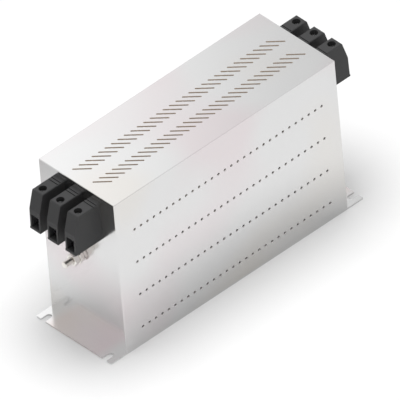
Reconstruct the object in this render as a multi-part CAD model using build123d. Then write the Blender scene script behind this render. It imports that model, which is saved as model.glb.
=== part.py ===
from build123d import *
import os
from math import cos, degrees, pi, radians, sin

# Three-phase EMI filter in a vented sheet-metal casing, in millimetres.
# Origin: middle of the underside of the base plate. +Z is up, the line
# terminals are at the -X end, the load terminals at the +X end.

# Casing: a cover folded from one sheet, standing on a flat base plate
case_length = 240.0
case_width = 87.0
case_height = 153.5
cover_sheet = 1.2
bend_radius = 0.5
base_sheet = 1.5
lip_width = 9.0

# Fixing flanges: the base plate runs out at both ends
flange_reach = 16.7
flange_corner = 0.5
notch_width = 5.3
notch_depth = 9.0
notch_spacing = 71.0

# Round features that repeat or are hidden are cut with few sides
vent_sides = 4
small_sides = 8
stud_sides = 12
ring_sides = 24

# Vents in the two long sides, punched through both in one row pattern
vent_width = 2.4
vent_pitch = 7.0
vent_columns = 30
vent_rows = 4
vent_row_spacing = 33.4
vent_lowest = 17.3
vent_row_offset = 1.0

# Slots in the top, two rows that slant across the casing
slot_length = 15.0
slot_width = 1.2
slot_slant = -45.0
slot_pitch = 7.0
slot_count = 31
slot_row_spacing = 23.4
slot_row_offset = -2.8

# Terminal blocks: side outline of the moulded housing, from its lower edge
block_width = 12.0
block_pitch = 20.4
block_count = 3
block_drop = 6.6
block_height = 36.9
block_top_reach = 23.3
block_knee_reach = 28.2
block_knee_height = 19.6
block_front_reach = 28.6
block_lip_reach = 0.5
block_lip_height = 1.5
block_edge = 0.6
groove_places = (3.6, 6.7)
groove_width = 1.0
groove_depth = 0.8

# Openings of a terminal block
wire_entry_width = 8.5
wire_entry_height = 12.1
wire_entry_sill = 2.2
driver_hole_width = 6.8
driver_hole_reach = 17.6

# Neck of the housing, which snaps into the end wall
neck_width = 10.0
neck_height = 22.0
neck_foot = 3.5
neck_inside = 5.0
snap_height = 1.0
snap_length = 2.0

# Box clamp and current bar of a terminal
cage_wall = 1.3
cage_width = 9.2
cage_length = 11.6
cage_height = 20.3
cage_top_plate = 2.5
clamp_screw_width = 6.0
clamp_screw_length = 16.5
driver_slot_width = 1.0
driver_slot_depth = 1.4
bar_width = 6.0
bar_thickness = 2.0
bar_inset = 12.0
bar_foot = 12.0

# Earth studs, one below each set of terminals
earth_height = 77.4
earth_offset = -2.5
earth_reach = 18.0
earth_thread = 6.0
earth_head_flats = 10.0
earth_head_height = 4.0
thin_nut_height = 3.2
washer_width = 12.0
washer_thickness = 1.6
nut_flats = 10.0
nut_height = 5.0
strap_width = 7.0
strap_thickness = 0.8
strap_offset = 10.2

# Screws that hold the base plate under the cover, and their clinch nuts
base_screw_width = 4.0
base_screw_head_width = 7.2
base_screw_length = 6.0
base_screw_columns = 3
base_screw_end_margin = 20.0
clinch_nut_flats = 7.0
clinch_nut_height = 3.0
clinch_spigot_flats = 5.2

# Chokes: ring cores that lie flat, clamped by a stud through the middle
pad_thickness = 6.0
pad_margin = 5.0
core_ring = 14.0
core_height = 25.0
clamp_disc_thickness = 3.0
clamp_disc_margin = 4.0
choke_stud_width = 6.0
choke_stud_proud = 2.0

# Phase conductors, wound on both cores. Their round wire has six sides here.
wire_flats = 4.4
wire_sides = 6
turns = 3
turn_gap = 0.9
middle_phase_angle = 180.0
outer_phase_angle = 60.0
crossing_gap = 1.0
lead_lap = 30.0

# Capacitor board on pillars above the chokes
board_thickness = 1.6
board_side_gap = 1.8
board_air_gap = 4.0
pillar_width = 6.0
pillar_columns = 2
pillar_end_inset = 6.0
pillar_side_inset = 9.5
pillar_spigot_width = 4.0
board_screw_width = 3.0
board_screw_head_width = 5.5
board_screw_head_height = 2.0
board_screw_length = 8.0

# Parts on the board
x_capacitor_length = 57.5
x_capacitor_height = 40.0
x_capacitor_count = 3
x_capacitor_start = 17.0
x_capacitor_gap = 3.0
bar_foot_gap = 7.0
capacitor_edge = 1.0
y_capacitor_length = 18.0
y_capacitor_width = 9.0
y_capacitor_height = 15.0
y_capacitor_place = -8.0
small_part_margin = 7.5
resistor_width = 5.0
resistor_length = 14.0
resistor_place = 9.0
resistor_lead = 1.0
resistor_lead_run = 2.0

# Clearances
slide_gap = 0.2
seat_gap = 0.1
hole_gap = 0.2
wall_gap = 1.2

# Places that follow from the sizes above
end_wall = case_length / 2
inner_end = end_wall - cover_sheet
inner_half_width = case_width / 2 - cover_sheet
lip_top = base_sheet + cover_sheet
lip_screw_y = case_width / 2 - cover_sheet - (lip_width - cover_sheet) / 2
block_foot = case_height - block_drop - block_height
bar_under = block_foot + wire_entry_sill + wire_entry_height + slide_gap
bar_face = end_wall - bar_inset

wire_radius = wire_flats / 2 / cos(pi / wire_sides)
wire_room = wire_radius + seat_gap
lower_wire = base_sheet + pad_thickness + wire_room
core_foot = lower_wire + wire_room
core_top = core_foot + core_height
upper_wire = core_top + wire_room
core_radius = inner_half_width - wall_gap - wire_room - wire_radius
core_bore_radius = core_radius - core_ring
outer_wire = core_radius + wire_room
inner_wire = core_bore_radius - wire_room
turn_step = degrees((2 * wire_radius + turn_gap) / inner_wire)
choke_x = (bar_face - bar_thickness) / 2
clamp_disc_foot = upper_wire + wire_room
clamp_disc_top = clamp_disc_foot + clamp_disc_thickness
crossing_wire = clamp_disc_top + wire_radius + crossing_gap
choke_stud_top = clamp_disc_top + nut_height + choke_stud_proud
board_under = choke_stud_top + board_air_gap
board_top = board_under + board_thickness
board_half_length = bar_face - bar_thickness
board_half_width = inner_half_width - board_side_gap
lead_x = bar_face + wire_room
earth_stack = thin_nut_height + washer_thickness + nut_height
capacitor_room = end_wall - bar_inset - bar_foot - bar_foot_gap - x_capacitor_start
x_capacitor_pitch = (capacitor_room + x_capacitor_gap) / x_capacitor_count
x_capacitor_width = x_capacitor_pitch - x_capacitor_gap
small_part_pitch = board_half_width - small_part_margin - y_capacitor_length / 2

UPRIGHT = (Align.CENTER, Align.CENTER, Align.MIN)
OUTWARD = (Align.MIN, Align.CENTER, Align.MIN)
ends = {"line": -1, "load": 1}


def save(name, shape):
    """Write one named piece, or one group of like fasteners."""
    export_step(shape, f"parts/{name}.step")


def rod(width, height, foot=0.0, sides=small_sides):
    """Upright round bar with few sides, its corners on the circle."""
    return Pos(0, 0, foot) * extrude(RegularPolygon(width / 2, sides), height)


def bore(width, height, foot=0.0, sides=small_sides):
    """Upright round hole with few sides, its flats on the circle."""
    return Pos(0, 0, foot) * extrude(RegularPolygon(width / 2, sides, major_radius=False), height)


def hex_bar(flats, height, foot=0.0):
    """Upright hexagon bar, measured across its flats."""
    return bore(flats, height, foot, 6)


def at_end(side, shape, y=0.0):
    """Place a shape that is drawn outwards along +X from an end wall."""
    turn = Rot(0, 0, 180) if side < 0 else Rot(0, 0, 0)
    return Pos(side * end_wall, y, 0) * turn * shape


def lying_out(shape):
    """Turn an upright piece of an earth stud so that it points outwards."""
    return Pos(0, earth_offset, earth_height) * Rot(0, 90, 0) * shape


def group(shapes):
    """Like fasteners that share one node, as separate solids."""
    return Compound(children=list(shapes))


block_places = [(i - (block_count - 1) / 2) * block_pitch for i in range(block_count)]
base_screw_spots = GridLocations(
    (case_length - 2 * base_screw_end_margin) / (base_screw_columns - 1),
    2 * lip_screw_y,
    base_screw_columns,
    2,
)
choke_spots = GridLocations(2 * choke_x, 0, 2, 1)
pillar_spots = GridLocations(
    2 * (board_half_length - pillar_end_inset) / (pillar_columns - 1),
    2 * (board_half_width - pillar_side_inset),
    pillar_columns,
    2,
)


def cover():
    """Five-sided cover: folded from one sheet, its upright corners welded."""
    tall = case_height - base_sheet
    outside = Pos(0, 0, base_sheet) * Box(case_length, case_width, tall, align=UPRIGHT)
    outside = fillet(outside.faces().sort_by(Axis.Z)[-1].edges(), bend_radius)
    room = Pos(0, 0, base_sheet) * Box(
        case_length - 2 * cover_sheet,
        case_width - 2 * cover_sheet,
        tall - cover_sheet,
        align=UPRIGHT,
    )
    shell = outside - room
    for side in (-1, 1):
        lip = Box(case_length - 2 * cover_sheet, lip_width - cover_sheet, cover_sheet, align=UPRIGHT)
        shell += Pos(0, side * lip_screw_y, base_sheet) * lip
    shell -= base_screw_spots * hex_bar(clinch_spigot_flats + hole_gap, 2 * cover_sheet, base_sheet - seat_gap)
    return shell - side_vents() - top_slots() - end_openings()


def side_vents():
    """Vent punches, long enough to pass through both long sides."""
    punch = RegularPolygon(vent_width / 2, vent_sides, major_radius=False, rotation=180 / vent_sides)
    rows_middle = vent_lowest + (vent_rows - 1) * vent_row_spacing / 2
    spots = Pos(vent_row_offset, rows_middle) * GridLocations(vent_pitch, vent_row_spacing, vent_columns, vent_rows)
    return extrude(Plane.XZ * (Sketch() + [spot * punch for spot in spots]), case_width, both=True)


def top_slots():
    """Slot punches for the two slanting rows in the top."""
    punch = Rot(0, 0, slot_slant) * Rectangle(slot_length, slot_width)
    spots = Pos(0, slot_row_offset) * GridLocations(slot_pitch, slot_row_spacing, slot_count, 2)
    sheet = Pos(0, 0, case_height - 2 * cover_sheet) * (Sketch() + [spot * punch for spot in spots])
    return extrude(sheet, 3 * cover_sheet)


def end_openings():
    """Holes in the end walls for the terminal necks and the earth studs."""
    neck_hole = Pos(-2 * cover_sheet, 0, block_foot + neck_foot - slide_gap) * Box(
        3 * cover_sheet, neck_width + 2 * slide_gap, neck_height + 2 * slide_gap, align=OUTWARD
    )
    stud_hole = lying_out(bore(earth_thread + 2 * hole_gap, 3 * cover_sheet, -2 * cover_sheet, stud_sides))
    holes = []
    for side in ends.values():
        holes += [at_end(side, neck_hole, y) for y in block_places]
        holes.append(at_end(side, stud_hole))
    return holes


def base_plate():
    """Flat plate with open notches for the fixing screws at both ends."""
    plate = Rectangle(case_length + 2 * flange_reach, case_width)
    plate = chamfer(plate.vertices(), flange_corner)
    notch = Pos(-notch_depth + notch_width / 2, 0) * RegularPolygon(notch_width / 2, stud_sides)
    notch += Pos(-notch_depth + notch_width / 2, 0) * Rectangle(
        notch_depth, notch_width, align=(Align.MIN, Align.CENTER)
    )
    for side in ends.values():
        for y in (-notch_spacing / 2, notch_spacing / 2):
            plate -= at_end(side, Pos(flange_reach) * notch, y)
    plate -= choke_spots * RegularPolygon(choke_stud_width / 2 + seat_gap, small_sides, major_radius=False)
    plate -= pillar_spots * RegularPolygon(pillar_spigot_width / 2 + seat_gap, small_sides, major_radius=False)
    return extrude(plate, base_sheet) - base_screw_spots * countersink(2 * seat_gap, major_radius=False)


def countersink(extra, major_radius=True):
    """Cone of a base screw's head, as deep as the plate is thick."""
    wide = RegularPolygon((base_screw_head_width + extra) / 2, small_sides, major_radius=major_radius)
    narrow = RegularPolygon((base_screw_width + extra) / 2, small_sides, major_radius=major_radius)
    return loft([wide, Pos(0, 0, base_sheet) * narrow])


def base_screw():
    """Low countersunk screw, flush with the underside of the plate."""
    return countersink(0) + rod(base_screw_width, base_screw_length - base_sheet, base_sheet)


def clinch_nut():
    """Nut pressed into the lip of the cover from above."""
    body = hex_bar(clinch_nut_flats, clinch_nut_height, lip_top)
    spigot = hex_bar(clinch_spigot_flats, cover_sheet, base_sheet)
    return body + spigot - bore(base_screw_width + 2 * seat_gap, clinch_nut_height + lip_top)


def block_outline():
    """Side view of a terminal block, outwards and up from its foot."""
    lip = block_front_reach + block_lip_reach
    return make_face(
        Plane.XZ
        * Polyline(
            (0, 0),
            (lip, 0),
            (lip, block_lip_height),
            (block_front_reach, block_lip_height + block_lip_reach),
            (block_knee_reach, block_knee_height),
            (block_top_reach, block_height),
            (0, block_height),
            close=True,
        )
    )


def terminal_housing():
    """Moulded block with its clamp room, wire entry, screw shaft and neck."""
    body = extrude(block_outline(), block_width / 2, both=True)
    front = body.edges().filter_by(Axis.Y).sort_by(Axis.X)[-1]
    soft = body.faces().sort_by(Axis.Z)[-1].edges().filter_by(Axis.X)
    soft += body.edges().filter_by(Axis.Y).group_by(Axis.Z)[-1].sort_by(Axis.X)[-1:]
    body = chamfer(soft, block_edge)
    room_height = cage_height + 2 * slide_gap
    room_foot = wire_entry_sill - cage_wall - slide_gap
    cage_room = Pos(driver_hole_reach, 0, room_foot) * Box(
        cage_length + 2 * slide_gap, cage_width + 2 * slide_gap, room_height, align=UPRIGHT
    )
    entry = Pos(driver_hole_reach, 0, wire_entry_sill) * Box(
        front.center().X, wire_entry_width, wire_entry_height, align=OUTWARD
    )
    shaft_foot = room_foot + room_height - seat_gap
    shaft = Pos(driver_hole_reach, 0, 0) * bore(driver_hole_width, block_height, shaft_foot, stud_sides)
    body -= [cage_room, entry, shaft]
    for place in groove_places:
        body -= Pos(place, 0, block_height - groove_depth) * Box(
            groove_width, 2 * block_width, 2 * groove_depth, align=UPRIGHT
        )
    neck_length = cover_sheet + neck_inside
    neck = Pos(-neck_length, 0, neck_foot) * Box(neck_length, neck_width, neck_height, align=OUTWARD)
    catch = Pos(-cover_sheet - slide_gap - snap_length, 0, neck_foot - snap_height) * Box(
        snap_length, neck_width, neck_height + 2 * snap_height, align=OUTWARD
    )
    bar_hole = Pos(-neck_length, 0, bar_under - block_foot - slide_gap) * Box(
        neck_length + driver_hole_reach, bar_width + 2 * slide_gap, bar_thickness + 2 * slide_gap, align=OUTWARD
    )
    return Pos(0, 0, block_foot) * (body + neck + catch - bar_hole)


def clamp_cage():
    """Box clamp that lifts the wire against the bar when its screw is turned."""
    foot = block_foot + wire_entry_sill - cage_wall
    shell = Box(cage_length, cage_width, cage_height, align=UPRIGHT)
    window_height = cage_height - cage_wall - cage_top_plate
    window = Pos(0, 0, cage_wall) * Box(
        2 * cage_length, cage_width - 2 * cage_wall, window_height, align=UPRIGHT
    )
    thread = bore(clamp_screw_width + 2 * seat_gap, cage_height, cage_height - cage_top_plate - seat_gap)
    return Pos(driver_hole_reach, 0, foot) * (shell - window - thread)


def clamp_screw():
    """Slotted screw that stands on the bar and carries the cage."""
    foot = bar_under + bar_thickness + seat_gap
    screw = rod(clamp_screw_width, clamp_screw_length, 0, stud_sides)
    slot = Pos(0, 0, clamp_screw_length - driver_slot_depth) * Box(
        2 * clamp_screw_width, driver_slot_width, 2 * driver_slot_depth, align=UPRIGHT
    )
    return Pos(driver_hole_reach, 0, foot) * (screw - slot)


def current_bar():
    """Strip from the clamp through the neck, then down to its foot on the board."""
    tip = driver_hole_reach + cage_length / 2
    top = bar_under + bar_thickness
    outline = Plane.XZ * Polyline(
        (tip, bar_under),
        (tip, top),
        (-bar_inset - bar_thickness, top),
        (-bar_inset - bar_thickness, board_top + bar_thickness),
        (-bar_inset - bar_foot, board_top + bar_thickness),
        (-bar_inset - bar_foot, board_top),
        (-bar_inset, board_top),
        (-bar_inset, bar_under),
        close=True,
    )
    return extrude(make_face(outline), bar_width / 2, both=True)


def earth_stud():
    """Bolt put through the end wall from inside, over the earth strap.

    Only its free end is round: the rest is hidden in the wall and the nuts.
    """
    seat = cover_sheet + strap_thickness
    head = hex_bar(earth_head_flats, earth_head_height, -seat - earth_head_height)
    held = rod(earth_thread, seat + earth_stack, -seat, stud_sides)
    free = Pos(0, 0, earth_stack) * Cylinder(earth_thread / 2, earth_reach - earth_stack, align=UPRIGHT)
    return lying_out(head + held + free)


def ring_nut(flats, height, foot):
    """Hexagon nut on an earth stud, with a flat side up."""
    return lying_out(hex_bar(flats, height, foot) - bore(earth_thread + 2 * seat_gap, height, foot, stud_sides))


def earth_washer():
    """Flat washer between the two nuts of an earth stud."""
    disc = rod(washer_width, washer_thickness, thin_nut_height, ring_sides)
    hole = bore(earth_thread + 2 * hole_gap, washer_thickness, thin_nut_height, stud_sides)
    return lying_out(disc - hole)


def earth_strap():
    """Strip under the stud's head, down the wall and in to the board."""
    drop = earth_height - board_top
    leg_place = strap_offset - earth_offset
    eye = RegularPolygon(earth_head_flats / 2, small_sides, major_radius=False)
    arm = Rectangle(strap_width, leg_place, align=(Align.CENTER, Align.MIN))
    leg = Pos(-strap_width / 2, leg_place) * Rectangle(
        drop + strap_width / 2, strap_width, align=(Align.MIN, Align.CENTER)
    )
    hole = RegularPolygon(earth_thread / 2 + hole_gap, stud_sides, major_radius=False)
    plate = extrude(eye + arm + leg - hole, strap_thickness)
    upright = Pos(-cover_sheet - strap_thickness, 0, 0) * lying_out(plate)
    foot_tip = bar_inset + bar_foot
    foot = Pos(-foot_tip, strap_offset, board_top) * Box(
        foot_tip - cover_sheet, strap_width, strap_thickness, align=OUTWARD
    )
    return upright + foot


def choke_pad():
    """Insulating disc that carries the windings clear of the base plate."""
    disc = rod(2 * (core_radius - pad_margin), pad_thickness, base_sheet, ring_sides)
    return disc - bore(choke_stud_width + 2 * hole_gap, 3 * pad_thickness)


def choke_core():
    """Ring core in its plastic case."""
    ring = rod(2 * core_radius, core_height, core_foot, ring_sides)
    return ring - bore(2 * core_bore_radius, core_height, core_foot, ring_sides)


def clamp_disc():
    """Insulating disc that holds a choke down from above."""
    width = 2 * (core_radius - clamp_disc_margin)
    disc = rod(width, clamp_disc_thickness, clamp_disc_foot, ring_sides)
    return disc - bore(choke_stud_width + 2 * hole_gap, 2 * clamp_disc_top)


def choke_nut():
    """Nut that tightens the clamp disc."""
    nut = hex_bar(nut_flats, nut_height, clamp_disc_top)
    return nut - bore(choke_stud_width + 2 * seat_gap, 2 * choke_stud_top)


def winding_points(first_angle, step):
    """Corners of one winding on the line-side core: down, in, up and out."""
    points = []
    for turn in range(turns):
        here = radians(first_angle + turn * step)
        following = radians(first_angle + (turn + 1) * step)
        points.append(choke_point(outer_wire, here, lower_wire))
        points.append(choke_point(inner_wire, here, lower_wire))
        points.append(choke_point(inner_wire, here, upper_wire))
        points.append(choke_point(outer_wire, following, upper_wire))
    return points


def choke_point(radius, angle, height):
    """A point around the axis of the line-side core."""
    return (-choke_x + radius * cos(angle), radius * sin(angle), height)


def phase_conductor(y, middle_angle, step):
    """One wire from a line bar, round both cores, to the load bar."""
    first_angle = middle_angle - turns * step / 2
    start = choke_point(outer_wire, radians(first_angle), upper_wire)
    path = [(-lead_x, y, board_top + lead_lap), (-lead_x, y, upper_wire), start]
    path += winding_points(first_angle, step)
    if abs(y) < seat_gap:
        path.append((path[-1][0], path[-1][1], crossing_wire))
    path += [(-x, y_place, z) for x, y_place, z in reversed(path)]
    line = Polyline(*path)
    section = Plane(origin=path[0], z_dir=(0, 0, -1)) * RegularPolygon(wire_radius, wire_sides)
    return sweep(section, path=line, transition=Transition.RIGHT)


def capacitor_board():
    """Circuit board that carries the capacitors and resistors."""
    sheet = Rectangle(2 * board_half_length, 2 * board_half_width)
    sheet -= pillar_spots * RegularPolygon(board_screw_width / 2 + hole_gap, small_sides, major_radius=False)
    legs = 2 * (resistor_length / 2 + resistor_lead_run - resistor_lead / 2)
    for y in (-small_part_pitch, 0, small_part_pitch):
        holes = Pos(resistor_place, y) * GridLocations(0, legs, 1, 2)
        sheet -= holes * Rectangle(resistor_lead + 2 * hole_gap, resistor_lead + 2 * hole_gap)
    return Pos(0, 0, board_under) * extrude(sheet, board_thickness)


def pillar():
    """Threaded pillar pressed into the base plate."""
    body = rod(pillar_width, board_under - base_sheet, base_sheet)
    thread = bore(board_screw_width + 2 * seat_gap, board_screw_length, board_under - board_screw_length)
    return body + rod(pillar_spigot_width, base_sheet) - thread


def board_screw():
    """Pan-head screw that holds the board on a pillar."""
    head = rod(board_screw_head_width, board_screw_head_height, board_top)
    return head + rod(board_screw_width, board_screw_length, board_top - board_screw_length)


def box_capacitor(length, width, height):
    """Film capacitor in a moulded box, standing on the board."""
    box = Pos(0, 0, board_top) * Box(width, length, height, align=UPRIGHT)
    return chamfer(box.faces().sort_by(Axis.Z)[-1].edges(), capacitor_edge)


def resistor():
    """Wire-ended resistor, its leads bent down through the board."""
    axis = board_top + seat_gap + resistor_width / 2
    half = resistor_length / 2 + resistor_lead_run
    body = Pos(0, resistor_length / 2, axis) * Rot(90, 0, 0) * rod(resistor_width, resistor_length)
    tail = board_under - resistor_lead
    staple = Polyline(
        (-half, tail),
        (-half, axis + resistor_lead / 2),
        (half, axis + resistor_lead / 2),
        (half, tail),
        (half - resistor_lead, tail),
        (half - resistor_lead, axis - resistor_lead / 2),
        (-half + resistor_lead, axis - resistor_lead / 2),
        (-half + resistor_lead, tail),
        close=True,
    )
    return body + extrude(Plane.YZ * make_face(staple), resistor_lead / 2, both=True)


os.makedirs("parts", exist_ok=True)

save("cover", cover())
save("base_plate", base_plate())
save("base_screws", group(base_screw_spots * base_screw()))
save("clinch_nuts", group(base_screw_spots * clinch_nut()))

for end_name, side in ends.items():
    for number, y in enumerate(block_places, start=1):
        save(f"{end_name}_terminal_{number}", at_end(side, terminal_housing(), y))
        save(f"{end_name}_clamp_cage_{number}", at_end(side, clamp_cage(), y))
        save(f"{end_name}_current_bar_{number}", at_end(side, current_bar(), y))
    save(f"{end_name}_earth_strap", at_end(side, earth_strap()))
save("clamp_screws", group(at_end(side, clamp_screw(), y) for side in ends.values() for y in block_places))

save("earth_studs", group(at_end(side, earth_stud()) for side in ends.values()))
thin_nut = ring_nut(nut_flats, thin_nut_height, 0)
save("earth_fixing_nuts", group(at_end(side, thin_nut) for side in ends.values()))
save("earth_washers", group(at_end(side, earth_washer()) for side in ends.values()))
outer_nut = ring_nut(nut_flats, nut_height, earth_stack - nut_height)
save("earth_nuts", group(at_end(side, outer_nut) for side in ends.values()))

for number, spot in enumerate(choke_spots, start=1):
    save(f"choke_{number}_pad", spot * choke_pad())
    save(f"choke_{number}_core", spot * choke_core())
    save(f"choke_{number}_clamp_disc", spot * clamp_disc())
save("choke_studs", group(choke_spots * rod(choke_stud_width, choke_stud_top)))
save("choke_nuts", group(choke_spots * choke_nut()))
save("phase_conductor_1", phase_conductor(block_places[0], -outer_phase_angle, turn_step))
save("phase_conductor_2", phase_conductor(block_places[1], middle_phase_angle, -turn_step))
save("phase_conductor_3", phase_conductor(block_places[2], outer_phase_angle, -turn_step))

save("capacitor_board", capacitor_board())
save("board_pillars", group(pillar_spots * pillar()))
save("board_screws", group(pillar_spots * board_screw()))
x_capacitor = box_capacitor(x_capacitor_length, x_capacitor_width, x_capacitor_height)
y_capacitor = box_capacitor(y_capacitor_length, y_capacitor_width, y_capacitor_height)
for number in range(1, x_capacitor_count + 1):
    place = x_capacitor_start + (number - 0.5) * x_capacitor_pitch - x_capacitor_gap / 2
    save(f"line_x_capacitor_{number}", Pos(-place, 0, 0) * x_capacitor)
    save(f"load_x_capacitor_{number}", Pos(place, 0, 0) * x_capacitor)
for number in (1, 2, 3):
    y = (number - 2) * small_part_pitch
    save(f"y_capacitor_{number}", Pos(y_capacitor_place, y, 0) * y_capacitor)
    save(f"discharge_resistor_{number}", Pos(resistor_place, y, 0) * resistor())
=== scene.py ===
import math

import bmesh
import bpy
from mathutils import Matrix, Vector


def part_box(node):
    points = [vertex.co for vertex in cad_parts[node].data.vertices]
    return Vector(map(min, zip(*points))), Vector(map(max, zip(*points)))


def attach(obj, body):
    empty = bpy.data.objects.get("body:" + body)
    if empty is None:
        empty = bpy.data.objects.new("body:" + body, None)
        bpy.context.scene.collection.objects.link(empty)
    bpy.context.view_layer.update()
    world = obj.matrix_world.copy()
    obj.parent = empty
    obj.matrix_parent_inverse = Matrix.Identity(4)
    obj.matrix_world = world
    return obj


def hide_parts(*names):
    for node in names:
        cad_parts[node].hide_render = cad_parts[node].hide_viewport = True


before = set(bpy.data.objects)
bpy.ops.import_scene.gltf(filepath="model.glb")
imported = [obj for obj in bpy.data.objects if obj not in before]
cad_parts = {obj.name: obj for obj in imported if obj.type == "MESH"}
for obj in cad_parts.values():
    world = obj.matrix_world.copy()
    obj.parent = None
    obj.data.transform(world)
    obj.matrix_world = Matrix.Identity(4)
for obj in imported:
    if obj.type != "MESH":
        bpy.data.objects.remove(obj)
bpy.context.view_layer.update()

# Camera: the casing is seen from above its line end, turned 40 degrees and
# 40 degrees up. Parallel edges stay parallel, as in the picture, and the
# camera leans by 5 degrees, as the picture does.
right = Vector((0.7275, -0.6827, -0.0683))
up = Vector((0.4790, 0.4341, 0.7630))
back = right.cross(up).normalized()
up = back.cross(right).normalized()
right.normalize()
casing_middle = Vector((0, 0, 0.077))
shift_right = 0.0054
shift_down = 0.0129
aim = casing_middle + shift_right * right - shift_down * up
frame_width = 0.3159
distance = 3.0
eye = bpy.data.cameras.new("camera")
eye.type = "ORTHO"
eye.ortho_scale = frame_width
camera = bpy.data.objects.new("camera", eye)
stance = Matrix((right, up, back)).transposed().to_4x4()
camera.matrix_world = Matrix.Translation(aim + distance * back) @ stance
bpy.context.scene.collection.objects.link(camera)
bpy.context.scene.camera = camera
bpy.context.scene.view_settings.view_transform = "Standard"


# Light: one round softbox high above the casing throws the short shadow
# round its foot, and a pale room lights the rest. Metal sees the bright room,
# not the softbox.
def if_seen_directly(tree, amount):
    """An amount that falls to nothing once the light has met a matt surface."""
    path = tree.nodes.new("ShaderNodeLightPath")
    no_matt_bounce = tree.nodes.new("ShaderNodeMath")
    no_matt_bounce.operation = "LESS_THAN"
    no_matt_bounce.inputs[1].default_value = 0.5
    tree.links.new(path.outputs["Diffuse Depth"], no_matt_bounce.inputs[0])
    kept = tree.nodes.new("ShaderNodeMath")
    kept.operation = "MULTIPLY"
    tree.links.new(amount, kept.inputs[0])
    tree.links.new(no_matt_bounce.outputs[0], kept.inputs[1])
    return kept.outputs[0]


softbox = bpy.data.lights.new("softbox", "AREA")
softbox.shape = "DISK"
softbox.size = 1.0
softbox.energy = 16.3
lamp = bpy.data.objects.new("softbox", softbox)
lamp.location = (-0.02, 0.025, 1.35)
lamp.visible_glossy = False
bpy.context.scene.collection.objects.link(lamp)

room = bpy.data.worlds.new("room")
bpy.context.scene.world = room
room.use_nodes = True
nodes, links = room.node_tree.nodes, room.node_tree.links
nodes.clear()
path = nodes.new("ShaderNodeLightPath")
mirror_level = nodes.new("ShaderNodeMapRange")
mirror_level.inputs["To Min"].default_value = 0.35
mirror_level.inputs["To Max"].default_value = 0.88
mirrored = if_seen_directly(room.node_tree, path.outputs["Is Glossy Ray"])
links.new(mirrored, mirror_level.inputs["Value"])
level = nodes.new("ShaderNodeMath")
level.operation = "MAXIMUM"
links.new(path.outputs["Is Camera Ray"], level.inputs[0])
links.new(mirror_level.outputs[0], level.inputs[1])
glow = nodes.new("ShaderNodeBackground")
glow.inputs["Color"].default_value = (1, 1, 1, 1)
links.new(level.outputs[0], glow.inputs["Strength"])
world_out = nodes.new("ShaderNodeOutputWorld")
links.new(glow.outputs[0], world_out.inputs["Surface"])


# Ceiling panel: only the metal sees it. It is brighter over the far line end,
# so that the top of the casing fades evenly from left to right.
def show_to_metal_alone(prop):
    """Leaves a piece of the stage to reflections."""
    prop.visible_camera = False
    prop.visible_diffuse = False
    prop.visible_transmission = False
    prop.visible_shadow = False


ceiling = bmesh.new()
bmesh.ops.create_grid(ceiling, x_segments=1, y_segments=1, size=0.4)
panel_mesh = bpy.data.meshes.new("ceiling_panel")
ceiling.to_mesh(panel_mesh)
ceiling.free()
panel = bpy.data.objects.new("ceiling_panel", panel_mesh)
panel.location = (0.57, 0.68, 0.9)
panel.rotation_euler = (0, 0, math.radians(-43.2))
show_to_metal_alone(panel)
bpy.context.scene.collection.objects.link(panel)
panel_light = bpy.data.materials.new("ceiling_panel")
panel_light.use_nodes = True
nodes, links = panel_light.node_tree.nodes, panel_light.node_tree.links
nodes.clear()
across = nodes.new("ShaderNodeTexCoord")
split = nodes.new("ShaderNodeSeparateXYZ")
links.new(across.outputs["Object"], split.inputs[0])
fade = nodes.new("ShaderNodeMapRange")
fade.inputs["From Min"].default_value = -0.127
fade.inputs["From Max"].default_value = 0.107
fade.inputs["To Min"].default_value = 1.38
fade.inputs["To Max"].default_value = 0.785
links.new(split.outputs["X"], fade.inputs["Value"])
shine = nodes.new("ShaderNodeEmission")
links.new(if_seen_directly(panel_light.node_tree, fade.outputs[0]), shine.inputs["Strength"])
panel_out = nodes.new("ShaderNodeOutputMaterial")
links.new(shine.outputs[0], panel_out.inputs["Surface"])
panel_mesh.materials.append(panel_light)


# Shade cards: painted shade, dark sheets that fade out, flat on the floor
# and seen by the metal alone. One darkens the long sides towards their foot,
# the other the upper corner of the line end.
def shade_card(name, middle, reach, whole, darkness):
    """A sheet of painted shade whose grey is even out to a share of its reach and then fades out."""
    shade_grid = bmesh.new()
    bmesh.ops.create_grid(shade_grid, x_segments=1, y_segments=1, size=max(reach))
    card_mesh = bpy.data.meshes.new(name)
    shade_grid.to_mesh(card_mesh)
    shade_grid.free()
    card = bpy.data.objects.new(name, card_mesh)
    card.location = middle
    show_to_metal_alone(card)
    bpy.context.scene.collection.objects.link(card)
    painted_shade = bpy.data.materials.new(name)
    painted_shade.use_nodes = True
    nodes, links = painted_shade.node_tree.nodes, painted_shade.node_tree.links
    nodes.clear()
    across = nodes.new("ShaderNodeTexCoord")
    oval = nodes.new("ShaderNodeMapping")
    oval.inputs["Scale"].default_value = (1 / reach[0], 1 / reach[1], 1)
    links.new(across.outputs["Object"], oval.inputs["Vector"])
    outwards_share = nodes.new("ShaderNodeVectorMath")
    outwards_share.operation = "LENGTH"
    links.new(oval.outputs[0], outwards_share.inputs[0])
    fade = nodes.new("ShaderNodeMapRange")
    fade.inputs["From Min"].default_value = whole
    fade.inputs["From Max"].default_value = 1.0
    fade.inputs["To Min"].default_value = darkness
    fade.inputs["To Max"].default_value = 0.0
    links.new(outwards_share.outputs["Value"], fade.inputs["Value"])
    gap = nodes.new("ShaderNodeBsdfTransparent")
    dark = nodes.new("ShaderNodeEmission")
    dark.inputs["Strength"].default_value = 0.0
    shade_mix = nodes.new("ShaderNodeMixShader")
    links.new(fade.outputs[0], shade_mix.inputs["Fac"])
    links.new(gap.outputs[0], shade_mix.inputs[1])
    links.new(dark.outputs[0], shade_mix.inputs[2])
    card_out = nodes.new("ShaderNodeOutputMaterial")
    links.new(shade_mix.outputs[0], card_out.inputs["Surface"])
    card_mesh.materials.append(painted_shade)


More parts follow.
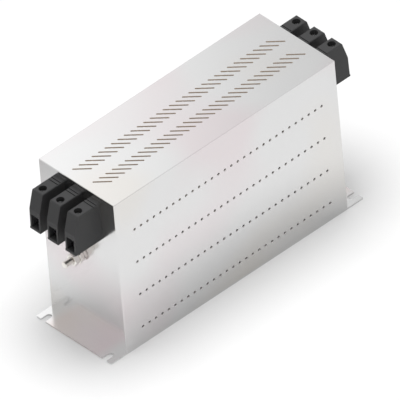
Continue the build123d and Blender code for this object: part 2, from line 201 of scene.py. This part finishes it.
shade_card("side_shade_card", middle=(0.03, 0, 0.0004), reach=(0.21, 0.12), whole=0.53, darkness=0.22)
shade_card("corner_shade_card", middle=(-0.26, 0.205, 0.0006), reach=(0.15, 0.15), whole=0.1, darkness=0.42)

# Floor: a wide sheet of matt white paper. The light on it brings it to plain
# white a short way from the casing.
ground = bmesh.new()
bmesh.ops.create_grid(ground, x_segments=1, y_segments=1, size=8.0)
floor_mesh = bpy.data.meshes.new("floor")
ground.to_mesh(floor_mesh)
ground.free()
floor = bpy.data.objects.new("floor", floor_mesh)
bpy.context.scene.collection.objects.link(floor)
paper = bpy.data.materials.new("floor_paper")
paper.use_nodes = True
shader = paper.node_tree.nodes["Principled BSDF"]
shader.inputs["Base Color"].default_value = (0.95, 0.95, 0.95, 1)
shader.inputs["Roughness"].default_value = 0.9
shader.inputs["Specular IOR Level"].default_value = 0.0
floor_mesh.materials.append(paper)


# Cover: one sheet of plated steel, its slots and vents punched while it was
# flat, then folded down on four sides. Lips at the foot of the long sides
# carry the clinch nuts. The plating is bright and nearly a mirror.
def finish(name, colour, darker, grain, metal, rough, rough_spread, bump_depth, coat=0.0):
    """A surface whose colour, roughness and height vary a little with its grain."""
    material = bpy.data.materials.new(name)
    material.use_nodes = True
    tree = material.node_tree
    surface = tree.nodes["Principled BSDF"]
    surface.inputs["Metallic"].default_value = metal
    surface.inputs["Coat Weight"].default_value = coat
    place = tree.nodes.new("ShaderNodeTexCoord")
    mapping = tree.nodes.new("ShaderNodeMapping")
    mapping.inputs["Scale"].default_value = grain
    tree.links.new(place.outputs["Object"], mapping.inputs["Vector"])
    cloud = tree.nodes.new("ShaderNodeTexNoise")
    cloud.inputs["Scale"].default_value = 1.0
    cloud.inputs["Detail"].default_value = 6.0
    cloud.inputs["Roughness"].default_value = 0.6
    tree.links.new(mapping.outputs[0], cloud.inputs["Vector"])
    tint = tree.nodes.new("ShaderNodeValToRGB")
    tint.color_ramp.elements[0].position = 0.3
    tint.color_ramp.elements[0].color = (*[c * darker for c in colour], 1)
    tint.color_ramp.elements[1].position = 0.7
    tint.color_ramp.elements[1].color = (*colour, 1)
    tree.links.new(cloud.outputs["Fac"], tint.inputs["Fac"])
    tree.links.new(tint.outputs["Color"], surface.inputs["Base Color"])
    polish = tree.nodes.new("ShaderNodeMapRange")
    polish.inputs["From Min"].default_value = 0.3
    polish.inputs["From Max"].default_value = 0.7
    polish.inputs["To Min"].default_value = rough - rough_spread
    polish.inputs["To Max"].default_value = rough + rough_spread
    tree.links.new(cloud.outputs["Fac"], polish.inputs["Value"])
    tree.links.new(polish.outputs[0], surface.inputs["Roughness"])
    if bump_depth:
        bump = tree.nodes.new("ShaderNodeBump")
        bump.inputs["Distance"].default_value = bump_depth
        bump.inputs["Strength"].default_value = 1.0
        tree.links.new(cloud.outputs["Fac"], bump.inputs["Height"])
        tree.links.new(bump.outputs[0], surface.inputs["Normal"])
    return material


def dress(node, material):
    """Gives a node of the model its finish."""
    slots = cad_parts[node].data.materials
    slots.clear()
    slots.append(material)


def fit(name, work, node, material, smooth_angle=30):
    """Turns a finished bmesh into a piece that stands for a node of the model."""
    bmesh.ops.recalc_face_normals(work, faces=work.faces)
    mesh = bpy.data.meshes.new(name)
    work.to_mesh(mesh)
    work.free()
    mesh.polygons.foreach_set("use_smooth", [True] * len(mesh.polygons))
    mesh.set_sharp_from_angle(angle=math.radians(smooth_angle))
    mesh.materials.append(material)
    piece = bpy.data.objects.new(name, mesh)
    bpy.context.scene.collection.objects.link(piece)
    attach(piece, "root")
    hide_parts(node)
    return piece


def cut(piece, work, material):
    """Takes a finished bmesh out of a piece and leaves its material on the cut."""
    tool_mesh = bpy.data.meshes.new("tool")
    work.to_mesh(tool_mesh)
    work.free()
    tool_mesh.materials.append(material)
    tool = bpy.data.objects.new("tool", tool_mesh)
    bpy.context.scene.collection.objects.link(tool)
    punching = piece.modifiers.new("cut", "BOOLEAN")
    punching.operation = "DIFFERENCE"
    punching.solver = "EXACT"
    punching.material_mode = "TRANSFER"
    punching.object = tool
    result = piece.evaluated_get(bpy.context.evaluated_depsgraph_get())
    left = bpy.data.meshes.new_from_object(result)
    piece.modifiers.clear()
    old = piece.data
    piece.data = left
    bpy.data.meshes.remove(old)
    bpy.data.objects.remove(tool)
    bpy.data.meshes.remove(tool_mesh)


def passivate(sheet, shades, clear_from=None, fade_width=0.01):
    """Lays the film of the plating bath over a sheet, in wide hazy zones of tint.

    From clear_from outwards, measured from the middle line, the sheet is clear.
    """
    nodes, links = sheet.node_tree.nodes, sheet.node_tree.links
    surface = nodes["Principled BSDF"]
    plain = surface.inputs["Base Color"].links[0].from_socket
    place = nodes.new("ShaderNodeTexCoord")
    haze = nodes.new("ShaderNodeTexNoise")
    haze.inputs["Scale"].default_value = 8.5
    haze.inputs["Detail"].default_value = 1.0
    links.new(place.outputs["Object"], haze.inputs["Vector"])
    film = nodes.new("ShaderNodeValToRGB")
    ends = (shades[0], shades[-1])
    for element, (position, shade) in zip(film.color_ramp.elements, ends):
        element.position = position
        element.color = (*shade, 1)
    for position, shade in shades[1:-1]:
        film.color_ramp.elements.new(position).color = (*shade, 1)
    links.new(haze.outputs["Fac"], film.inputs["Fac"])
    over = nodes.new("ShaderNodeMix")
    over.data_type = "RGBA"
    over.blend_type = "MULTIPLY"
    over.inputs["Factor"].default_value = 1.0
    if clear_from:
        split = nodes.new("ShaderNodeSeparateXYZ")
        links.new(place.outputs["Object"], split.inputs[0])
        off_middle = nodes.new("ShaderNodeMath")
        off_middle.operation = "ABSOLUTE"
        links.new(split.outputs["Y"], off_middle.inputs[0])
        share = nodes.new("ShaderNodeMapRange")
        share.inputs["From Min"].default_value = clear_from - fade_width
        share.inputs["From Max"].default_value = clear_from
        share.inputs["To Min"].default_value = 1.0
        share.inputs["To Max"].default_value = 0.0
        links.new(off_middle.outputs[0], share.inputs["Value"])
        links.new(share.outputs[0], over.inputs["Factor"])
    links.new(plain, over.inputs[6])
    links.new(film.outputs["Color"], over.inputs[7])
    links.new(over.outputs[2], surface.inputs["Base Color"])


bright_sheet = finish("bright_sheet", colour=(0.72, 0.72, 0.72), darker=0.985, grain=(9, 9, 5),
                      metal=1.0, rough=0.19, rough_spread=0.02, bump_depth=0.0)
rosy = (1.0, 0.93, 0.945)
creamy = (1.0, 0.975, 0.94)
clear = (1, 1, 1)
passivate(bright_sheet, [(0.3, rosy), (0.46, clear), (0.54, clear), (0.7, creamy)])
# Painted light: the cut walls of the slots and holes are given a pale warm tan, and those of the vents a
# paler near-white, so that the holes look lit inside.
painted_light_slot_edge = finish("painted_light_slot_edge", colour=(0.95, 0.81, 0.68), darker=0.9, grain=(700, 700, 700),
                   metal=0.0, rough=0.7, rough_spread=0.1, bump_depth=0.0)
painted_light_vent_edge = finish("painted_light_vent_edge", colour=(0.97, 0.94, 0.93), darker=0.95, grain=(700, 700, 700),
                   metal=0.0, rough=0.7, rough_spread=0.1, bump_depth=0.0)
low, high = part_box("cover")
size = high - low
sheet_thickness = 0.0012
fold_radius = 0.0005
lip_reach = 0.009

blank = bmesh.new()
bmesh.ops.create_cube(blank, size=1.0)
bmesh.ops.scale(blank, verts=blank.verts, vec=size)
bmesh.ops.translate(blank, verts=blank.verts, vec=(low + high) / 2)
folds = [e for e in blank.edges if max(v.co.z for v in e.verts) > high.z - 1e-6]
bmesh.ops.bevel(blank, geom=folds, offset=fold_radius, segments=3, profile=0.5, affect="EDGES",
                material=-1)
cover = fit("vented_cover", blank, "cover", bright_sheet, smooth_angle=10)

inside = size / 2 - Vector((sheet_thickness, sheet_thickness, 0))
lip_edge = size.y / 2 - lip_reach
lip_top = low.z + sheet_thickness
room_inside = bmesh.new()
section = [
    (inside.y, lip_top), (inside.y, high.z - sheet_thickness), (-inside.y, high.z - sheet_thickness),
    (-inside.y, lip_top), (-lip_edge, lip_top), (-lip_edge, low.z - sheet_thickness),
    (lip_edge, low.z - sheet_thickness), (lip_edge, lip_top),
]
corners = [room_inside.verts.new((-inside.x, y, z)) for y, z in section]
end_face = room_inside.faces.new(corners)
moved = bmesh.ops.extrude_face_region(room_inside, geom=[end_face])["geom"]
bmesh.ops.translate(room_inside, verts=[v for v in moved if isinstance(v, bmesh.types.BMVert)],
                    vec=(2 * inside.x, 0, 0))
bmesh.ops.recalc_face_normals(room_inside, faces=room_inside.faces)
cut(cover, room_inside, bright_sheet)

round_sides = 28
right_through = 1.2
vent_width = 0.0027
vent_pitch = 0.007
vent_columns = 30
vent_rows = 4
vent_row_spacing = 0.0334
vent_lowest = 0.0173
vent_row_offset = 0.001
punches = bmesh.new()
for row in range(vent_rows):
    for column in range(vent_columns):
        x = (column - (vent_columns - 1) / 2) * vent_pitch + vent_row_offset
        spot = Matrix.Translation((x, 0, vent_lowest + row * vent_row_spacing))
        bmesh.ops.create_cone(punches, cap_ends=True, segments=round_sides, radius1=vent_width / 2,
                              radius2=vent_width / 2, depth=right_through * size.y,
                              matrix=spot @ Matrix.Rotation(math.pi / 2, 4, "X"))
# The vents' cut walls carry the painted light of the paler edge.
cut(cover, punches, painted_light_vent_edge)

slot_length = 0.0158
slot_width = 0.0016
slot_pitch = 0.007
slot_count = 31
slot_row_spacing = 0.0234
slot_row_offset = -0.0031
slot_end_offset = -0.0003
slot_slant = math.radians(-45)
slot_sides = 12
half_side = math.pi / slot_sides
punches = bmesh.new()
for row in (-0.5, 0.5):
    for number in range(slot_count):
        punch = bmesh.ops.create_cone(punches, cap_ends=True, segments=slot_sides, radius1=slot_width / 2,
                                      radius2=slot_width / 2, depth=4 * sheet_thickness,
                                      matrix=Matrix.Rotation(half_side, 4, "Z"))["verts"]
        for v in punch:
            v.co.x += math.copysign((slot_length - slot_width) / 2, v.co.x)
        x = (number - (slot_count - 1) / 2) * slot_pitch + slot_end_offset
        spot = (x, slot_row_offset + row * slot_row_spacing, high.z)
        slanted = Matrix.Translation(spot) @ Matrix.Rotation(slot_slant, 4, "Z")
        bmesh.ops.transform(punches, matrix=slanted, verts=punch)

neck_width = 0.0104
neck_height = 0.0224
neck_foot = 0.0033
stud_height = 0.0774
stud_offset = 0.0025
stud_hole = 0.0064
for number in (1, 2, 3):
    near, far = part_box(f"line_terminal_{number}")
    spot = (0, (near.y + far.y) / 2, near.z + neck_foot + neck_height / 2)
    hole = bmesh.ops.create_cube(punches, size=1.0)["verts"]
    bmesh.ops.scale(punches, verts=hole, vec=(right_through * size.x, neck_width, neck_height))
    bmesh.ops.translate(punches, verts=hole, vec=spot)
for side in (-1, 1):
    spot = Matrix.Translation((side * high.x, -side * stud_offset, stud_height))
    bmesh.ops.create_cone(punches, cap_ends=True, segments=round_sides, radius1=stud_hole / 2,
                          radius2=stud_hole / 2, depth=6 * sheet_thickness,
                          matrix=spot @ Matrix.Rotation(math.pi / 2, 4, "Y"))
clinch_hole = 0.0062
clinch_flats = 0.007
nuts_low, nuts_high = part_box("clinch_nuts")
clinch_x = (nuts_high.x - nuts_low.x) / 2 - clinch_flats / math.sqrt(3)
clinch_y = (nuts_high.y - nuts_low.y) / 2 - clinch_flats / 2
for x in (-clinch_x, 0, clinch_x):
    for y in (-clinch_y, clinch_y):
        bmesh.ops.create_cone(punches, cap_ends=True, segments=round_sides, radius1=clinch_hole / 2,
                              radius2=clinch_hole / 2, depth=4 * sheet_thickness,
                              matrix=Matrix.Translation((x, y, low.z)))
# The cut walls of the slots, necks, stud holes and clinch holes carry the painted light of the tan edge.
cut(cover, punches, painted_light_slot_edge)

# Base plate: plated sheet, flat, its two flanges and open notches left bright
# under a rosier film that stops short of the corners. Its countersunk screws go
# up into nuts clinched in the cover.
base_sheet = finish("base_sheet", colour=(0.72, 0.72, 0.72), darker=0.985, grain=(9, 9, 5),
                    metal=1.0, rough=0.19, rough_spread=0.02, bump_depth=0.0)
mauve = (1.0, 0.90, 0.93)
straw = (1.0, 0.925, 0.905)
passivate(base_sheet, [(0.38, mauve), (0.6, straw)], clear_from=0.035)
dress("base_plate", base_sheet)
zinc = finish("zinc_plating", colour=(0.66, 0.67, 0.68), darker=0.9, grain=(400, 400, 400),
              metal=1.0, rough=0.28, rough_spread=0.06, bump_depth=0.00001)
for node in ("base_screws", "clinch_nuts"):
    dress(node, zinc)

# Terminal housings: moulded in black glass-filled plastic with a fine matt
# grain, snapped into the end walls. Their edges are slightly rounded.
black_moulding = finish("black_moulding", colour=(0.045, 0.045, 0.046), darker=0.85, grain=(900, 900, 900),
                        metal=0.0, rough=0.52, rough_spread=0.06, bump_depth=0.00002)
black_moulding.node_tree.nodes["Principled BSDF"].inputs["Specular IOR Level"].default_value = 0.3
for end in ("line", "load"):
    for number in (1, 2, 3):
        node = f"{end}_terminal_{number}"
        dress(node, black_moulding)
        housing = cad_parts[node]
        weld = housing.modifiers.new("join", "WELD")
        weld.merge_threshold = 0.00001
        edge = housing.modifiers.new("soft_edges", "BEVEL")
        edge.width = 0.0002
        edge.segments = 2
        edge.limit_method = "ANGLE"
        edge.angle_limit = math.radians(35)
        edge.harden_normals = True

# Box clamps: bent from zinc-plated strip, loose in the housings, with the
# threaded plate on top.
for end in ("line", "load"):
    for number in (1, 2, 3):
        dress(f"{end}_clamp_cage_{number}", zinc)


# Clamp screws: plated steel with a cross recess, standing on the current bar
# under the driver hole. Each stands as it was left by the driver.
def rim(mesh_data, height):
    """The edges of a mesh that lie at one height."""
    return [e for e in mesh_data.edges if all(abs(v.co.z - height) < 1e-6 for v in e.verts)]


low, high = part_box("clamp_screws")
screw_radius = 0.003
screw_bevel = 0.0004
recess_sides = 12
recess_reach = 0.0021
recess_depth = 0.0017
recess_waist = 0.4
recess_taper = 0.45
top_radius = screw_radius - screw_bevel
screws = bmesh.new()
for end, side in (("line", -1), ("load", 1)):
    for number, turned in ((1, 20), (2, 66), (3, 41)):
        near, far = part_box(f"{end}_terminal_{number}")
        screw = bmesh.new()
        cross = bmesh.ops.create_circle(screw, segments=recess_sides, radius=recess_reach)["verts"]
        bmesh.ops.rotate(screw, verts=cross, matrix=Matrix.Rotation(math.pi / recess_sides, 3, "Z"))
        corners = [v for v in cross if abs(abs(v.co.x) - abs(v.co.y)) < 1e-6]
        bmesh.ops.scale(screw, verts=corners, vec=(recess_waist, recess_waist, 1))
        edge = bmesh.ops.create_circle(screw, segments=36, radius=top_radius)["verts"]
        bmesh.ops.bridge_loops(screw, edges=screw.edges[:])
        inner = [e for e in screw.edges if e.is_boundary and e.verts[0] in cross]
        outer = [e for e in screw.edges if e.is_boundary and e.verts[0] in edge]
        wall = bmesh.ops.extrude_edge_only(screw, edges=inner)["geom"]
        bottom = [v for v in wall if isinstance(v, bmesh.types.BMVert)]
        bmesh.ops.scale(screw, verts=bottom, vec=(recess_taper, recess_taper, 1))
        bmesh.ops.translate(screw, verts=bottom, vec=(0, 0, -recess_depth))
        bmesh.ops.contextual_create(screw, geom=[e for e in wall if isinstance(e, bmesh.types.BMEdge)])
        shank = high.z - low.z - screw_bevel
        for drop, spread in ((screw_bevel, screw_radius / top_radius), (shank, 1.0)):
            skirt = bmesh.ops.extrude_edge_only(screw, edges=outer)["geom"]
            ring = [v for v in skirt if isinstance(v, bmesh.types.BMVert)]
            bmesh.ops.scale(screw, verts=ring, vec=(spread, spread, 1))
            bmesh.ops.translate(screw, verts=ring, vec=(0, 0, -drop))
            outer = [e for e in skirt if isinstance(e, bmesh.types.BMEdge)]
        bmesh.ops.contextual_create(screw, geom=outer)
        axis = Vector((side * (high.x - screw_radius), (near.y + far.y) / 2, high.z))
        stand = Matrix.Translation(axis) @ Matrix.Rotation(math.radians(turned), 4, "Z")
        bmesh.ops.transform(screw, matrix=stand, verts=screw.verts)
        one = bpy.data.meshes.new("one_screw")
        screw.to_mesh(one)
        screw.free()
        screws.from_mesh(one)
        bpy.data.meshes.remove(one)
fit("cross_screws", screws, "clamp_screws", zinc)

# Current bars and earth straps: tinned copper strip, punched and bent. The bars
# run in from the box clamps, and the straps lie under the heads of the earth
# bolts.
tinned = finish("tinned_copper", colour=(0.72, 0.70, 0.66), darker=0.9, grain=(300, 300, 300),
                metal=1.0, rough=0.32, rough_spread=0.07, bump_depth=0.00001)
for end in ("line", "load"):
    for number in (1, 2, 3):
        dress(f"{end}_current_bar_{number}", tinned)
    dress(f"{end}_earth_strap", tinned)

# Earth studs: M6 hexagon bolts put through the end walls from inside. Their
# rolled thread runs the whole length and ends in a small cone.
nickel = finish("nickel_plating", colour=(0.81, 0.78, 0.745), darker=0.93, grain=(300, 300, 300),
                metal=1.0, rough=0.1, rough_spread=0.03, bump_depth=0.0)
wall_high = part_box("cover")[1]
stud_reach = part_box("earth_studs")[1].x - wall_high.x
stud_radius = 0.003
thread_pitch = 0.001
thread_depth = 0.00045
thread_steps = 32
head_height = 0.004
head_flats = 0.010
head_radius = 0.0058
bevelled = 0.0005
seat_depth = 0.002


def outwards(side):
    """Lays an upright piece down on the axis of an earth stud."""
    spot = Vector((side * wall_high.x, -side * stud_offset, stud_height))
    return Matrix.Translation(spot) @ Matrix.Rotation(side * math.pi / 2, 4, "Y")


def lathe(profile, steps=48):
    """Turns an open or closed outline of (radius, height) points about Z."""
    work = bmesh.new()
    corners = [work.verts.new((radius, 0, height)) for radius, height in profile]
    outline = [work.edges.new(pair) for pair in zip(corners, corners[1:])]
    bmesh.ops.spin(work, geom=corners + outline, axis=(0, 0, 1), cent=(0, 0, 0),
                   angle=2 * math.pi, steps=steps, use_merge=True)
    bmesh.ops.remove_doubles(work, verts=work.verts, dist=1e-6)
    return work


def cut_hexagon(work, flats):
    """Cuts the six flats of a bolt head or nut on a turned blank."""
    for flat in range(6):
        away = Matrix.Rotation(flat * math.pi / 3, 3, "Z") @ Vector((1, 0, 0))
        everything = work.verts[:] + work.edges[:] + work.faces[:]
        made = bmesh.ops.bisect_plane(work, geom=everything, dist=1e-7, plane_co=away * flats / 2,
                                      plane_no=away, clear_outer=True)
        rims = [e for e in made["geom_cut"] if isinstance(e, bmesh.types.BMEdge)]
        bmesh.ops.holes_fill(work, edges=rims, sides=0)


def join(parts, work, matrix):
    """Adds a finished bmesh to a group of like pieces, at its place."""
    bmesh.ops.transform(work, matrix=matrix, verts=work.verts)
    one = bpy.data.meshes.new("one")
    work.to_mesh(one)
    work.free()
    parts.from_mesh(one)
    bpy.data.meshes.remove(one)


studs = bmesh.new()
for side in (-1, 1):
    thread = bmesh.new()
    turns = math.ceil((stud_reach + seat_depth) / thread_pitch) + 2
    root = stud_radius - thread_depth
    flank = [
        (root, 0.0), (root, 0.1), (stud_radius, 0.35), (stud_radius, 0.65), (root, 0.9), (root, 1.0),
    ]
    corners = [thread.verts.new((r, 0, h * thread_pitch)) for r, h in flank]
    outline = [thread.edges.new(pair) for pair in zip(corners, corners[1:])]
    bmesh.ops.spin(thread, geom=corners + outline, axis=(0, 0, 1), cent=(0, 0, 0),
                   dvec=(0, 0, thread_pitch / thread_steps), angle=2 * math.pi * turns,
                   steps=thread_steps * turns)
    bmesh.ops.remove_doubles(thread, verts=thread.verts, dist=2e-6)
    bmesh.ops.translate(thread, verts=thread.verts, vec=(0, 0, -seat_depth - thread_pitch))
    for height, up_or_down in ((-seat_depth, -1), (stud_reach, 1)):
        everything = thread.verts[:] + thread.edges[:] + thread.faces[:]
        bmesh.ops.bisect_plane(thread, geom=everything, dist=1e-7, plane_co=(0, 0, height),
                               plane_no=(0, 0, up_or_down), clear_outer=True)
        bmesh.ops.holes_fill(thread, edges=rim(thread, height), sides=0)
    for v in thread.verts:
        limit = root + (stud_reach - v.co.z)
        radius = math.hypot(v.co.x, v.co.y)
        if radius > limit:
            v.co.x, v.co.y = v.co.x * limit / radius, v.co.y * limit / radius
    join(studs, thread, outwards(side))
    head = lathe([
        (0, 0), (head_radius, 0), (head_radius, head_height - bevelled),
        (head_radius - 2 * bevelled, head_height), (0, head_height),
    ])
    cut_hexagon(head, head_flats)
    inwards = Matrix.Translation((0, 0, -seat_depth)) @ Matrix.Rotation(math.pi, 4, "X")
    join(studs, head, outwards(side) @ inwards)
fit("threaded_earth_studs", studs, "earth_studs", nickel, smooth_angle=40)

# Nuts of the earth studs: a thin one that holds the bolt in the wall and a
# full one over the washer. Both have their corners turned off at both faces.
thin_height = 0.0032
washer_thickness = 0.0016
nut_height = 0.005
nut_flats = 0.010
corner = nut_flats / math.sqrt(3)
turned_off = 0.0005
mouth = stud_radius + 0.0001
mouth_bevel = 0.0004
for name, node, foot, height in (
    ("thin_earth_nuts", "earth_fixing_nuts", 0.0, thin_height),
    ("outer_earth_nuts", "earth_nuts", thin_height + washer_thickness, nut_height),
):
    nuts = bmesh.new()
    for side in (-1, 1):
        nut = lathe([
            (mouth, foot + mouth_bevel), (mouth + mouth_bevel, foot), (corner - 2 * turned_off, foot),
            (corner, foot + turned_off), (corner, foot + height - turned_off),
            (corner - 2 * turned_off, foot + height), (mouth + mouth_bevel, foot + height),
            (mouth, foot + height - mouth_bevel), (mouth, foot + mouth_bevel),
        ])
        cut_hexagon(nut, nut_flats)
        join(nuts, nut, outwards(side))
    fit(name, nuts, node, nickel)

# Washers: stamped, with one rounded edge, between the two nuts.
washer_radius = 0.006
bore_radius = stud_radius + 0.0002
top = thin_height + washer_thickness
rounding = 0.0004
rounding_middle = 0.3 * rounding
washers = bmesh.new()
for side in (-1, 1):
    washer = lathe([
        (bore_radius, thin_height), (washer_radius, thin_height), (washer_radius, top - rounding),
        (washer_radius - rounding_middle, top - rounding_middle), (washer_radius - rounding, top),
        (bore_radius, top), (bore_radius, thin_height),
    ])
    join(washers, washer, outwards(side))
fit("stamped_washers", washers, "earth_washers", nickel)

# Chokes: ring cores in dark casings, between moulded insulating discs, each
# clamped by a plated stud and nut.
core_case = finish("core_case", colour=(0.13, 0.14, 0.16), darker=0.8, grain=(150, 150, 150),
                   metal=0.0, rough=0.45, rough_spread=0.05, bump_depth=0.00002)
insulator = finish("insulator", colour=(0.62, 0.56, 0.42), darker=0.9, grain=(150, 150, 150),
                   metal=0.0, rough=0.5, rough_spread=0.05, bump_depth=0.00002)
for number in (1, 2):
    dress(f"choke_{number}_core", core_case)
    dress(f"choke_{number}_pad", insulator)
    dress(f"choke_{number}_clamp_disc", insulator)
for node in ("choke_studs", "choke_nuts", "board_pillars", "board_screws"):
    dress(node, zinc)

# Phase conductors: thick enamelled copper wire, brown and glossy, wound through
# both cores. Their ends are joined to the current bars of the two ends.
enamel = finish("wire_enamel", colour=(0.45, 0.20, 0.09), darker=0.85, grain=(200, 200, 200),
                metal=0.6, rough=0.28, rough_spread=0.05, bump_depth=0.0, coat=0.4)
for number in (1, 2, 3):
    dress(f"phase_conductor_{number}", enamel)

# Board: glass-fibre laminate, screwed down on pillars. Box capacitors in tinted
# plastic and ceramic resistors are soldered on it.
laminate = finish("laminate", colour=(0.30, 0.27, 0.13), darker=0.85, grain=(600, 600, 600),
                  metal=0.0, rough=0.4, rough_spread=0.05, bump_depth=0.00001)
capacitor_box = finish("capacitor_box", colour=(0.50, 0.36, 0.16), darker=0.9, grain=(250, 250, 250),
                       metal=0.0, rough=0.4, rough_spread=0.05, bump_depth=0.00001)
resistor_body = finish("resistor_body", colour=(0.62, 0.52, 0.38), darker=0.9, grain=(400, 400, 400),
                       metal=0.0, rough=0.6, rough_spread=0.05, bump_depth=0.00001)
dress("capacitor_board", laminate)
for number in (1, 2, 3):
    dress(f"line_x_capacitor_{number}", capacitor_box)
    dress(f"load_x_capacitor_{number}", capacitor_box)
    dress(f"y_capacitor_{number}", capacitor_box)
    dress(f"discharge_resistor_{number}", resistor_body)
